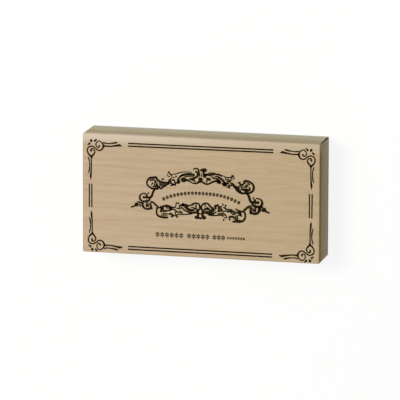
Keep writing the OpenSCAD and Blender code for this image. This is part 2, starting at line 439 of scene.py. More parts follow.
# The pad is cut smaller than its place by as much as its sides bulge at half height
foam_size = Vector((0.0077, 0.0100, 0.0015))
foam_foot = 0.0042
most_bulge = 0.00015
first_pad = block_like("foam_pad", foam_size - Vector((2 * most_bulge, 2 * most_bulge, 0)),
                       (0, 0, foam_foot + foam_size.z / 2))
only(first_pad)
bpy.ops.object.mode_set(mode="EDIT")
bpy.ops.mesh.select_all(action="SELECT")
bpy.ops.mesh.subdivide(number_cuts=3)
bpy.ops.object.mode_set(mode="OBJECT")
for vertex in first_pad.data.vertices:
    height = (vertex.co.z - foam_foot) / foam_size.z
    bulge = most_bulge * 4 * height * (1 - height)
    for axis in (0, 1):
        if abs(vertex.co[axis]) > 0.45 * foam_size[axis]:
            vertex.co[axis] += math.copysign(bulge, vertex.co[axis])
first_pad.data.materials.append(foam)
for row, stands in enumerate(rows, start=1):
    pads = [copy_of(first_pad, Matrix.Translation(stand)) for stand in stands]
    row_piece = joined(f"stamp_foams_{row}", pads)
    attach(row_piece, "base")
    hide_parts(f"stamp_foams_row_{row}")
bpy.data.objects.remove(first_pad)

# Rubber dies and the characters on top
# Under each pad is a die of red rubber: a thin sheet with one raised character, which stands on the
# base panel, mirrored. The same character is printed on top of the block, to show which stamp it is.
rubber, tree, shader, place = new_finish("moulded_red_rubber")
# Vulcanised rubber with a satin skin from its mould, and a faint dusting of talc in 1 mm patches
dust = add_node(tree, "TexNoise", {"Vector": place, "Scale": 900.0, "Detail": 3.0})
dusted = add_node(tree, "MapRange", {"Value": dust, "From Min": 0.45, "From Max": 0.8, "To Max": 0.35})
colour = add_node(tree, "Mix", {0: dusted, 6: linear("#92301F"), 7: linear("#B4766A")}, result=2,
                  data_type="RGBA")
rough = add_node(tree, "MapRange", {"Value": dust, "To Min": 0.42, "To Max": 0.66})
fill(shader, {"Base Color": colour, "Roughness": rough})

stamp_ink, tree, shader, place = new_finish("pad_printing_ink")
# Black ink printed on end grain, which drinks it: matt, and worn through in specks 0.4 mm wide
worn = add_node(tree, "TexNoise", {"Vector": place, "Scale": 2400.0, "Detail": 2.0})
worn = add_node(tree, "MapRange", {"Value": worn, "From Min": 0.58, "From Max": 0.75, "To Max": 0.5})
colour = add_node(tree, "Mix", {0: worn, 6: linear("#221B16"), 7: linear("#8A7252")}, result=2,
                  data_type="RGBA")
fill(shader, {"Base Color": colour, "Roughness": 0.75, "Specular IOR Level": 0.2})

# One for each stamp, from the back row to the front row
characters = "ABCDEFGHIJKLMNOPQRSTUVWXYZabcdefghijklmnopqrstuvwxyz0123456789&!?.,:-+"


def weld(threshold):
    """Merges the doubled points of the active piece, and turns its faces outwards."""
    bpy.ops.object.mode_set(mode="EDIT")
    bpy.ops.mesh.select_all(action="SELECT")
    bpy.ops.mesh.remove_doubles(threshold=threshold)
    bpy.ops.mesh.normals_make_consistent(inside=False)
    bpy.ops.object.mode_set(mode="OBJECT")


def character_piece(character, tall, thick, widest):
    """One character as a closed flat mesh, centred on the height of a capital, its lower face at 0."""
    bpy.ops.object.select_all(action="DESELECT")
    bpy.ops.object.text_add(location=(0, 0, 0))
    piece = bpy.context.object
    piece.data.body = character
    piece.data.align_x = "CENTER"
    piece.data.size = tall
    piece.data.resolution_u = 3
    piece.data.extrude = thick / 2
    bpy.ops.object.convert(target="MESH")
    piece = bpy.context.object
    weld(1e-6)
    xs = [v.co.x for v in piece.data.vertices]
    middle = (max(xs) + min(xs)) / 2
    narrow = min(1.0, widest / (max(xs) - min(xs)))
    half_capital = 0.35 * tall
    piece.data.transform(Matrix.Diagonal((narrow, 1, 1, 1))
                         @ Matrix.Translation((-middle, -half_capital, thick / 2)))
    return piece


# Print reaches a hair into the wood under it, so that no gap shows, and the raised face of a die
# reaches a hair into its sheet
sunk = 0.000005
sheet_thick = 0.0005
die_foot = 0.003
for row, stands in enumerate(rows, start=1):
    dies, marks = [], []
    for i, stand in enumerate(stands):
        character = characters[(len(rows) - row) * per_row + i]
        mark = character_piece(character, tall=0.0066, thick=0.00003, widest=0.0058)
        mark.data.transform(Matrix.Translation((0, 0, block_top - sunk)))
        mark.data.transform(block_poses[(row - 1) * per_row + i])
        mark.data.materials.append(stamp_ink)
        marks.append(mark)
        face = character_piece(character, tall=0.0068, thick=0.00072, widest=0.0056)
        mirrored = Matrix.Diagonal((-1, 1, 1, 1))
        face.data.transform(Matrix.Translation((stand.x, stand.y, die_foot)) @ mirrored)
        face.data.flip_normals()
        sheet = block_like("die_sheet", (foam_size.x, foam_size.y, sheet_thick),
                           (stand.x, stand.y, foam_foot - sheet_thick / 2))
        soften(sheet, width=0.0001, steps=1, wanted=lambda a, b: abs(a.z - b.z) > 0.0003)
        for piece in (face, sheet):
            piece.data.materials.append(rubber)
            dies.append(piece)
    marks_piece = joined(f"stamp_marks_{row}", marks)
    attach(marks_piece, "base")
    dies_piece = joined(f"stamp_dies_{row}", dies)
    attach(dies_piece, "base")
    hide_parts(f"stamp_dies_row_{row}")

# Walls of the lid
# The upper parts of the same four mitred strips, 9.5 mm high, which were sawn off with the lid. Each
# takes the wood of its side, so that the grain runs on across the cut.
for side, finish in side_woods.items():
    dress(f"lid_{side}_wall", finish)

# Lid board
# A board of lime wood, 3.5 mm thick, glued on the lid walls. Its grain runs along the box, and its
# top edges and corners are sanded round before the lid is printed.
lid_wood = lime_wood("lime_lid_board", along_box, (0.64, 0.028, 0.061), "#D0BBA0", "#B79F7E", ring=0.0019,
                     end_shade="#C0B18B")
tree, shader, place = parts_of(lid_wood)
plain = shader.inputs["Base Color"].links[0].from_socket
# The board is pinker at its left end and yellower at its right end, and a little paler to the front
where = add_node(tree, "SeparateXYZ", {0: place}).node.outputs
yellow = add_node(tree, "MapRange", {"Value": where["X"], "From Min": -0.05, "From Max": 0.05},
                  interpolation_type="SMOOTHSTEP")
cast = add_node(tree, "Mix", {0: yellow, 6: linear("#FDFDFF"), 7: linear("#FFFFFA")}, result=2,
                data_type="RGBA")
back = add_node(tree, "MapRange", {"Value": where["Y"], "From Min": -0.02, "From Max": 0.02},
                interpolation_type="SMOOTHSTEP")
cast = add_node(tree, "Mix", {0: back, 6: cast, 7: linear("#FAFAFA")}, result=2, data_type="RGBA",
                blend_type="MULTIPLY")
plain = add_node(tree, "Mix", {0: 1.0, 6: plain, 7: cast}, result=2, data_type="RGBA",
                 blend_type="MULTIPLY")
# A strip some 3 mm wide along its back edge is painted paler, palest at the left: a painted highlight
strip = add_node(tree, "MapRange", {"Value": where["Y"], "From Min": 0.0265, "From Max": 0.0305,
                                    "To Max": 0.55}, interpolation_type="SMOOTHSTEP")
highlight_tint = add_node(tree, "Mix", {0: yellow, 6: linear("#DCD0C1"), 7: linear("#CBBBA3")}, result=2,
                 data_type="RGBA")
colour = add_node(tree, "Mix", {0: strip, 6: plain, 7: highlight_tint}, result=2, data_type="RGBA")
fill(shader, {"Base Color": colour})

# The board leaves room for the film of ink on it, within the height of the lid
low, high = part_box("lid_panel")
ink_film = 0.00003
board_top = high.z - ink_film
lid_board = block_like("lid_board", (high.x - low.x, high.y - low.y, board_top - low.z),
                       (0, 0, (board_top + low.z) / 2))
soften(lid_board, width=0.0008, steps=4, wanted=lambda a, b: max(a.z, b.z) > board_top - 0.0001)
only(lid_board)
bpy.ops.object.shade_smooth_by_angle(angle=math.radians(40))
lid_board.data.materials.append(lid_wood)
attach(lid_board, "lid")
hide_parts("lid_panel")

# Printed rules
# The lid is screen printed in one dark brown ink. Pairs of thin rules frame it on its four sides,
# between the corner ornaments. The film of ink is thinner than paper and lies on the wood.
lid_ink, tree, shader, place = new_finish("screen_printing_ink")
# Matt brown-black ink: the wood shows through it in thin places, some 1.4 mm long along the grain
thin = add_node(tree, "VectorMath", {0: place, 1: (700, 1600, 700)}, operation="MULTIPLY")
thin = add_node(tree, "TexNoise", {"Vector": thin, "Scale": 1.0, "Detail": 2.0})
thin = add_node(tree, "MapRange", {"Value": thin, "From Min": 0.5, "From Max": 0.8, "To Max": 0.3})
colour = add_node(tree, "Mix", {0: thin, 6: linear("#1E1707"), 7: linear("#54432A")}, result=2,
                  data_type="RGBA")
fill(shader, {"Base Color": colour, "Roughness": 0.7, "Specular IOR Level": 0.04})

# The nib that draws the print: a section 1 mm wide, which each stroke widens or narrows
nib_shape = bpy.data.curves.new("nib", "CURVE")
nib_line = nib_shape.splines.new("POLY")
nib_line.points.add(3)
for point, (x, y) in zip(nib_line.points, ((-1, -1), (1, -1), (1, 1), (-1, 1))):
    point.co = (0.0005 * x, 0.0005 * y, 0, 1)
nib_line.use_cyclic_u = True
nib = bpy.data.objects.new("nib", nib_shape)
bpy.context.scene.collection.objects.link(nib)


def on_lid(x, y):
    """A point of the print, in mm from the left and the back edge of the lid, in metres on the lid.
    The screen lay a hair out of square on the board, by 0.3 mm at most."""
    long, wide = 130, 65
    right, down = x / long, y / wide
    slipped_x = x + 0.08 - 0.09 * right + 0.12 * down - 0.29 * right * down
    slipped_y = y - 0.14 + 0.14 * right + 0.32 * down
    return Vector(((slipped_x - long / 2) * 0.001, (wide / 2 - slipped_y) * 0.001, 0))


def printed(name, strokes, bold=1.0, steps=5, ink=lid_ink, film=1.0):
    """Prints strokes as one piece of ink. A stroke is its widths in hundredths of a mm, spread evenly
    along it, and then the x and y of its points in mm; it runs smoothly through them. bold widens all
    of it, steps is the number of faces from point to point, and film is the share of the full film."""
    shape = bpy.data.curves.new(name, "CURVE")
    shape.dimensions = "3D"
    shape.twist_mode = "Z_UP"
    shape.bevel_mode = "OBJECT"
    shape.bevel_object = nib
    shape.use_fill_caps = True
    shape.resolution_u = steps
    for widths, *run in strokes:
        spline = shape.splines.new("BEZIER")
        spline.bezier_points.add(len(run) // 2 - 1)
        for i, point in enumerate(spline.bezier_points):
            point.co = on_lid(run[2 * i], run[2 * i + 1])
            point.handle_left_type = point.handle_right_type = "AUTO"
            reach = i / (len(spline.bezier_points) - 1) * (len(widths) - 1)
            before = int(reach)
            after = min(before + 1, len(widths) - 1)
            width = widths[before] + (widths[after] - widths[before]) * (reach - before)
            point.radius = width / 100 * bold
    piece = bpy.data.objects.new(name, shape)
    bpy.context.scene.collection.objects.link(piece)
    only(piece)
    bpy.ops.object.convert(target="MESH")
    piece = bpy.context.object
    # The film is pressed flat, from just inside the wood to its own thickness above it
    for vertex in piece.data.vertices:
        vertex.co.z = board_top + film * ink_film if vertex.co.z > 0 else board_top - sunk
    weld(1e-7)
    piece.data.materials.clear()
    piece.data.materials.append(ink)
    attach(piece, "lid")


printed("print_rules", [
    ((78,), 25, 4.6, 104.6, 4.25), ((78,), 25, 6.1, 104.6, 5.65), ((78,), 25, 60.65, 104.4, 60.65),
    ((78,), 25, 62.15, 104.4, 62.15), ((72,), 3.65, 27.5, 3.65, 40.2), ((72,), 4.98, 27.5, 5, 40.3),
    ((72,), 124.4, 26.9, 124.45, 40), ((72,), 125.9, 26.9, 125.8, 40.2),
])

# Printed corners
# One scroll ornament, printed four times and mirrored: two spirals that roll against each other, three
# petals in the corner, and a long stem and a side blade along each edge.
def spot(x, y, across, along=None, angle=0):
    """The stroke of a round or oval spot, across by along in mm, with its long axis at angle degrees."""
    reach = (along or across) / 2
    turn = math.radians(angle)
    widths, run = [], []
    for way in (-1, -0.9, -0.6, 0, 0.6, 0.9, 1):
        widths.append(100 * across * max(0.06, math.sqrt(1 - way * way)))
        run += [x + way * reach * math.cos(turn), y - way * reach * math.sin(turn)]
    return widths, *run


def moved(stroke, way_x, start_x, way_y, start_y, heavier=1.0):
    """A stroke shifted along the lid and across it, mirrored where the way is -1, and drawn heavier."""
    widths, *run = stroke
    run[::2] = [start_x + way_x * x for x in run[::2]]
    run[1::2] = [start_y + way_y * y for y in run[1::2]]
    return [heavier * width for width in widths], *run


corner_scroll = [
    ((50, 120, 100, 35), 4.4, 3.35, 4.6, 3.8, 4.9, 4.35, 5.15, 4.9),
    ((40, 85, 70), 7.9, 3.15, 7.1, 3.75, 6.3, 4.5), ((90, 80, 30), 4.25, 5.35, 3.5, 5.85, 2.6, 6.5),
    ((80, 55, 50, 50, 60), 11.5, 6.6, 11.1, 5.5, 10.2, 4.6, 9.1, 4.1, 7.9, 4.7, 7.3, 5.9, 7.6, 7, 8.3,
     7.6, 9.1, 7.4), spot(9.2, 6.85, 1.05),
    ((90, 60, 60, 60, 60, 60, 85), 11.5, 6.7, 11.1, 7.9, 10.3, 8.8, 9.2, 9.2, 8.1, 8.9, 7.2, 8.2, 6.2,
     7.5, 5, 7.1, 3.7, 7.4, 2.8, 8.3, 2.55, 9.4, 2.9, 10.7, 3.6, 11.7, 4.6, 12.6),
    ((90, 60, 55, 60), 4.9, 12.7, 5.9, 11.6, 6.6, 10.6, 6.7, 9.7, 6.2, 8.9, 5.2, 8.5, 4.3, 8.8),
    spot(4.65, 9.5, 1.15),
    ((100, 60, 60, 70, 90, 100, 20), 11.2, 6.6, 13, 6.7, 15, 6.7, 17, 6.4, 19, 6.1, 20.3, 5.9, 21.8, 6.3),
    ((60, 20), 19.6, 5.8, 20.3, 5.15),
    ((30, 60, 50, 60, 80, 25), 11.4, 4.5, 12, 5, 14, 5.2, 16, 5, 18.2, 4.6, 19.4, 4.25),
    ((100, 50, 50, 60, 75, 90, 20), 4.8, 12.5, 4.8, 14, 4.8, 18, 4.7, 20, 4.5, 22, 4.4, 23.4, 4.4, 25.3),
    ((25, 60, 50, 50, 60, 60, 20), 3.1, 12.8, 3.4, 14, 3.8, 15.5, 3.9, 17, 3.8, 19, 3.5, 20.5, 3.1, 21.9),
]
corners = []
for corner in ((1, 0, 1, 0), (-1, 129.85, 1, -0.65), (1, 0.4, -1, 67.3), (-1, 129.75, -1, 67.2)):
    corners += [moved(stroke, *corner) for stroke in corner_scroll]
printed("print_corners", corners, bold=1.28)

# Printed cartouche
# An open frame of acanthus leaves and scrolls in the middle of the lid, in the old engravers' taste:
# a crest and two volutes above, a garland with a palmette below, and a knot of scrolls at each side.
cartouche = [
    # Crest: two plumes, each on its stem, and the dark root between the two scrolls
    ((54, 60, 72, 72, 90), 60.9, 17, 61.9, 16.35, 63.1, 16.5, 63.9, 17.2, 63.7, 18.3),
    ((72, 96), 61.9, 17.9, 63.2, 18.4), ((108, 120, 108), 63.5, 18.3, 63.5, 19.6, 63.2, 20.8),
    ((84, 138, 162, 120), 64.7, 17.4, 66, 17, 67.3, 17, 68.2, 17.5),
    ((96, 96, 138), 66.5, 17.8, 66.6, 19.2, 67.1, 20.7), ((96, 108), 66.8, 19.5, 68.6, 19.4),
    ((42, 48), 65.4, 19, 65.5, 20.7), ((30, 42), 64.5, 18.2, 64.5, 20.7),
    ((168, 192, 156, 96), 65, 21.1, 64.9, 22, 64.8, 23.1, 64.6, 24),
    # Left volute, with its eye and the shadow under its roll
    ((96, 96, 84, 78, 78, 102, 108), 40.8, 22, 39.4, 22.35, 37.8, 22.5, 36.4, 23.2, 35.6, 24.5, 35.5, 26,
     36.5, 27.4, 38.2, 28.3, 40.2, 28.4, 41.8, 28.2), ((42, 48), 36.7, 24.15, 38.9, 24),
    spot(38.45, 25.55, 1.02), spot(40, 24.6, 1.14, 1.7, 90), ((36, 42), 37.95, 26.1, 38, 27),
    ((48, 54), 39.5, 25.7, 39.6, 26.7), ((36, 42), 38.4, 23.1, 38.6, 24), ((42, 54), 39.3, 23, 39.5, 24),
    ((48, 78, 90), 38.5, 27.2, 40, 27.15, 41.5, 27), ((54, 66), 41.2, 26, 41.6, 27.8),
    ((42, 48), 40.5, 25.6, 40.6, 26.7), ((66, 72), 41, 27.9, 42.8, 27.9),
    # Leaf that grows out of the left volute: its two edges and the hatching between them
    ((89, 100, 100, 89, 89, 94), 40.6, 22.2, 41, 23.3, 42.2, 24.2, 43.8, 24.7, 45.6, 24.8, 47.5, 24.9),
    ((89, 94, 94, 94, 83), 42.9, 28.6, 43.8, 27.6, 45.2, 26.6, 46.4, 25.9, 47.6, 25.2),
    ((53, 59), 42.2, 26.4, 42.5, 28), spot(43.3, 26.5, 0.71, 1.4), ((41,), 42.6, 24.9, 42.9, 26.1),
    ((41,), 43.4, 25, 43.7, 26.1), ((47,), 44.3, 25.1, 44.4, 26.6), ((53, 59), 45.3, 25.2, 45.6, 26.1),
    spot(44.1, 23.1, 1, 1.4),
    # Crossing of the stems on the left, and the small leaf and the curl over it
    ((65, 77, 53), 47.5, 24.9, 49.4, 25.3, 51.3, 26.2),
    ((59, 77, 77), 48.4, 26.4, 49.6, 25.9, 50.9, 25.5),
    ((71, 83, 89), 50.9, 25.7, 51.3, 24.9, 52.2, 24.6, 53.2, 24.3), spot(53, 24.3, 1.47),
    ((65, 89, 71), 47.4, 24.6, 47.6, 23.8, 48.2, 23.1, 48.9, 22.3), ((53, 47), 48, 24.3, 49.2, 24),
    ((59, 77, 71, 53), 49.1, 23.5, 50, 23.1, 50.7, 23.8, 50.7, 24.9), spot(51.4, 21.2, 1),
    spot(47.5, 19.2, 1.18), spot(48.9, 20.7, 1), spot(47.8, 21.4, 0.71),
    ((59, 71), 47.8, 19.8, 48.9, 20.6), ((29, 41, 35), 46.9, 19.8, 46.8, 20.9, 47.5, 21.6),
    ((41, 47), 48.9, 21.7, 50.6, 21.8),
    # Left scroll: a thin line over a thick band, and a dark leaf rolled up inside
    ((41, 53, 47, 41, 29), 49, 20.15, 51.5, 19.75, 54, 18.9, 57, 18.45, 60.2, 18.5),
    ((59, 94, 106, 112, 89), 53.3, 21.3, 55, 20.25, 57.3, 19.7, 59.6, 19.6, 61.8, 19.9),
    ((71, 83, 89, 89), 55.6, 20.3, 54, 21, 52.8, 22.4, 52.4, 23.6, 52.8, 24.3),
    spot(55.6, 22.8, 2.36, 3.1, 8), ((41, 47, 41), 56, 21.2, 57.8, 20.9, 60.8, 20.7),
    ((118, 89, 53, 59, 83, 106), 56.8, 22.8, 58.4, 23.1, 59.9, 24, 61.3, 24.5, 62.8, 24.3, 64.2, 23.4),
    ((83, 100, 94, 94), 58.7, 22, 59.9, 22.2, 61.4, 21.5, 63.2, 20.7),
    ((53, 53, 59), 61.7, 21.6, 61.4, 22.6, 61.7, 23.7), ((47, 53), 60, 22.9, 61.3, 22.9),
    # Right scroll: two bands that run down beside each other, and a long wavy leaf below them
    ((103, 108, 108, 88, 62), 66.9, 19.7, 68.3, 19.5, 70.2, 19.4, 71.7, 19.2, 73.3, 18.9),
    ((31, 41, 36), 69.2, 18.5, 71.2, 18.2, 73.2, 18.4),
    ((72, 88, 88, 57), 73.3, 19, 74.7, 19, 75.8, 19.4, 76.6, 20),
    ((36, 46, 52, 52), 76.2, 19.3, 78, 19.9, 79.6, 20.35, 81.4, 20.3),
    ((57, 82, 103, 108, 103, 113), 72.8, 20.1, 74.2, 20.2, 75.3, 20.8, 76.5, 21.5, 77.4, 22.4, 78, 23.3,
     78.6, 24.4),
    ((93, 82, 67, 82, 93, 98, 113), 65.9, 23.4, 67, 24.2, 68.4, 24.6, 70, 24.1, 71.3, 23.3, 72.6, 22.8,
     73.8, 22.6, 75, 23.2),
    ((46, 67, 93, 103, 103), 71.3, 21.3, 72.8, 21.2, 74, 21.5, 75, 22.3, 75.9, 23.4),
    spot(74.9, 23.1, 1.44, 2.2, 140), ((113, 134, 103), 68.1, 21.6, 69.2, 21.8, 70.5, 22.2),
    ((93, 103), 67.2, 20.4, 67.8, 21.1), ((41,), 68.3, 22.2, 68.5, 23.6), spot(78.2, 24.3, 1.65, 2.6, 15),
    ((72,), 76.6, 23.5, 77.6, 24.6),
    # Crossing on the right, with its curl and its small leaf
    ((92, 98), 78.6, 23.5, 80.5, 23.5), ((61, 67, 61), 79, 25.4, 80, 25.6, 81, 25.9),
    ((49, 55), 80.8, 24.8, 80.9, 26.2), ((67, 73), 80.2, 24.7, 82.2, 24.5),
    ((49,), 79.2, 22.2, 81.5, 22.6), ((49,), 78.5, 20.5, 78.6, 21.8), ((49,), 80.3, 21.2, 80.6, 22.9),
    ((43,), 79.3, 21, 79.6, 22.8), ((85, 110, 128, 146), 81.3, 23.2, 82.4, 23.8, 83.4, 24.9, 84.6, 26),
    spot(82.4, 19.4, 1.22, 1.3, 80), spot(81.8, 20.3, 1.1, 1.4, 60), ((67, 73), 81.6, 21.2, 81.8, 22.1),
    ((43, 49, 49), 83.2, 19.5, 83.3, 20.6, 82.5, 21.3),
    # Right volute: a heavier ring, its roll, and the dark leaf below it
    ((90, 100, 90, 90, 100, 105, 100, 86), 88.8, 22.9, 88.9, 22, 90.1, 21.75, 91.7, 22.1, 93, 22.9, 93.85,
     24, 94.05, 25.4, 93.6, 26.8, 92.6, 27.7, 91.2, 28.4), spot(88.9, 23, 0.97, 1.4, 30),
    spot(90.2, 24.25, 1.19, 1.7), ((43,), 90.8, 23, 92, 23.7),
    ((59, 81, 86, 86), 91.2, 25, 91.8, 25.4, 91.8, 26.4, 91.1, 26.9), ((38,), 89, 25.15, 90.6, 25.2),
    ((86, 108, 119, 108), 86.9, 26.2, 88.2, 26.4, 89.8, 26.5, 91.2, 26.6),
    ((140, 140, 130, 81, 70), 84.3, 26.2, 85.3, 27, 86.3, 27.8, 87.3, 28.4, 89.2, 28.5, 91.2, 28.4),
    ((108, 119), 89.1, 27.4, 90.8, 27.5), ((65, 76), 86.6, 26.7, 86.8, 28.2),
    ((76,), 84, 24.9, 85.2, 25.5, 86.4, 26.3), ((43,), 85.6, 25.1, 88.9, 25.2), spot(86.2, 23, 1.19, 1.6),
    ((86, 103, 76), 86.2, 24, 87.4, 24, 88.5, 23.5),
    # Lower left volute: its ring, its dark eye, and the leaf that lies over it
    ((90, 81, 86, 102, 81), 41.4, 38.6, 40.85, 39.7, 40.75, 41.2, 41.4, 42.8, 43.1, 43.55, 45.2, 43.8,
     47.2, 43.65), ((72, 66), 41.4, 38.6, 43.2, 38.6),
    ((54, 66, 113, 108, 84, 60), 42.6, 38.1, 44.2, 37.8, 45.9, 37.4, 47.3, 37.5, 49, 38.1, 51.2, 38.05),
    ((66, 72), 43, 39.2, 44.8, 39.3), ((90, 102, 113), 43.5, 39.2, 43.3, 40.2, 43.1, 41.1),
    ((48,), 43.2, 38.55, 44.8, 38.5), ((72, 54), 46.2, 37.8, 46.3, 38.8),
    ((54, 66, 72, 66, 54), 44.2, 40.1, 46.6, 39.95, 48.2, 39.7, 49.4, 39.2, 50.9, 39.2),
    spot(48.5, 38.75, 1.49, 1.7, 70), ((60, 66), 50.9, 39.2, 51.5, 39.9), spot(51.8, 40.2, 1.02),
    ((54,), 44, 40.6, 46, 40.5), ((42, 48), 44.9, 41.7, 46.9, 41.5), ((42,), 44.6, 41.1, 44.7, 42.4),
    ((48, 54), 49.8, 42.5, 51.6, 42.4),
    ((66, 95, 90, 84, 84), 47.3, 42, 48.3, 41.6, 49.3, 42, 49.6, 42.8, 48.6, 43.2),
    ((72, 84), 51.8, 41.9, 52.3, 43.6), ((48,), 51.3, 40.4, 50.9, 42),
    # Garland on the left: its rail, its leaves and their berries
    ((52, 52, 57, 52), 51.8, 41.8, 55, 41.6, 58.2, 41.35, 60.4, 40.9),
    ((67, 88, 93, 88), 58.2, 40.4, 60, 40.5, 61.8, 40.3, 63.4, 39.9), spot(51.7, 35.7, 0.98),
    spot(52.8, 35.7, 1.03), ((41, 52), 51.5, 36, 51.2, 37.9), ((52, 72), 53.5, 36.9, 53.4, 38.9),
    ((52, 57), 51.7, 38.4, 53.2, 38.6), spot(55.3, 36.4, 1.54, 2.1, 60),
    ((62, 113, 124, 93), 53.2, 36.8, 55.2, 36.6, 56.8, 36.5, 58.4, 36.8),
    ((57, 62), 54.7, 37.6, 54.9, 38.6), ((57, 67), 55.1, 38.2, 56.2, 39.6),
    ((98, 113, 88, 52), 56.3, 37.4, 57.6, 38.1, 59.4, 38.8, 61.6, 38.6),
    ((46, 52, 52), 55.9, 39.3, 57, 39.8, 58.3, 40.3), ((41,), 57.4, 39.45, 61.2, 39.4),
    ((41, 46), 52.6, 40.4, 54.9, 40.9), ((41,), 53.2, 39.6, 54.6, 40.2),
    ((62, 72, 77, 82, 82), 58.3, 36.9, 59.7, 36.3, 61, 35.5, 62.6, 35.15, 63.9, 35.5, 64.5, 36.3),
    spot(60.3, 37.5, 0.67, 1.4), ((62, 72, 88, 93), 60.9, 37.7, 61.9, 38, 62.9, 38.5, 63.4, 39.5),
    ((52,), 62.4, 35.8, 62.6, 37.7), ((36,), 60.6, 36.5, 61.2, 36.2),
    # Palmette and its feet
    ((114, 131, 104), 64.8, 36.2, 64.8, 37.2, 64.9, 38.5), ((55, 60), 65.5, 36.2, 65.6, 38.4),
    ((100, 120, 115, 100), 64.2, 38.3, 63.5, 39.2, 63.5, 40.6, 63.7, 42.2),
    ((105, 120, 120, 100), 65.7, 38.3, 66.2, 39.3, 66.15, 40.7, 65.9, 42.2),
    ((60,), 63.9, 40.75, 65.7, 40.75), spot(62.95, 42.8, 1.6, 2.7), ((80, 90), 63.8, 43.2, 65.6, 43.2),
    spot(66.8, 42.7, 1.8, 2.6),
    # Garland on the right, whose leaves are closer together
    ((67, 88, 82, 82, 88, 98), 65.5, 36.3, 66.5, 35.4, 68, 34.9, 69.3, 35.4, 70.2, 36.4, 71.3, 37.4),
    ((52,), 67.6, 35.7, 67.4, 36.8), ((82, 103, 103), 66.8, 38.4, 68.2, 37.8, 69.2, 37.3),
    spot(69.2, 37.9, 1.24, 1.7), ((82, 98, 88), 69.6, 38.6, 71.2, 38.8, 72.6, 38.5),
    ((118, 129), 71.4, 37.2, 71.8, 38.3), ((88, 93), 73.2, 36.2, 73.3, 37.9),
    ((62, 98, 118), 72.4, 36.1, 73.8, 35.8, 75, 35.7), ((72, 82), 74.8, 36.3, 74.9, 38.9),
    ((67,), 75.2, 36.5, 76.8, 36.2), ((57, 62), 75.2, 37.4, 76.5, 37.3),
    ((62, 67), 76.5, 37.4, 76.6, 38.5), ((62, 72, 62), 74.2, 39.1, 75.8, 38.8, 77.2, 38.4),
    spot(77.2, 35.1, 1.03), spot(78.7, 35.6, 1.08), ((67, 82, 93), 77.4, 36.5, 78.4, 36.9, 79, 37.6),
    ((93, 103, 108, 82), 66.9, 39.8, 68.8, 40.3, 70.8, 40.6, 72.6, 40.3),
    ((62, 62, 62, 62, 72), 69, 41.1, 71.6, 41.4, 74.2, 41.15, 76.6, 41, 77.6, 41.6),
    spot(73.2, 39.6, 0.88, 1.3, 20), ((57, 67, 103), 75.6, 40.1, 76.8, 40, 77.7, 39.7),
    ((57, 67, 52, 52), 78.2, 40, 78.7, 40.9, 79.2, 41.6, 79.2, 42.5), ((46, 52), 77.9, 41.9, 78.9, 42.5),
    spot(77.7, 43.4, 1.03), ((46,), 68.2, 39.3, 71.6, 39.8), ((41,), 74.3, 40, 75.4, 40.5),
    ((41,), 77.2, 39, 79, 38.6),
    # Lower right volute: its leaf stands up to a point, and its foot is hatched
    ((86, 88, 92, 110, 104, 83), 89.1, 38.5, 89.45, 40, 89.4, 41.6, 88.8, 42.9, 87.6, 43.7, 86, 43.95,
     84.2, 44, 82.4, 44.1), ((92, 92, 74, 67, 67), 88.8, 38.4, 87.3, 38.4, 86, 38, 84.9, 37.6, 84.1, 37),
    ((74, 98, 116, 104), 84.2, 39.4, 85.5, 39, 86.4, 39.6, 86.3, 40.8),
    ((79, 74, 62), 86.8, 38.6, 87.1, 39.8, 87.4, 41.2),
    ((49, 55, 55), 78.9, 37.5, 80.4, 37.6, 82.5, 37.7), spot(82, 38.6, 1.59, 1.6),
    ((79, 92), 79.4, 38.9, 81.4, 38.6), ((74, 62), 82, 39, 81.9, 39.9), ((49,), 83, 38, 83.1, 39.7),
    ((43,), 83.8, 38.2, 83.8, 39.6), ((62,), 82.2, 40.2, 84.2, 40.1), ((62,), 85.2, 41.2, 85.3, 43.2),
    ((62,), 83.3, 41.5, 83.5, 42.9), ((43, 49), 84.3, 41, 84.4, 43.4), ((55, 62), 84.8, 43.3, 87, 43.3),
    ((43,), 84.6, 40.5, 85.8, 40.7), ((74, 98, 104, 86), 80.3, 42.4, 81, 41.7, 82.2, 41.5, 83.3, 41.7),
    spot(80.9, 43, 0.92, 1.1, 90),
]
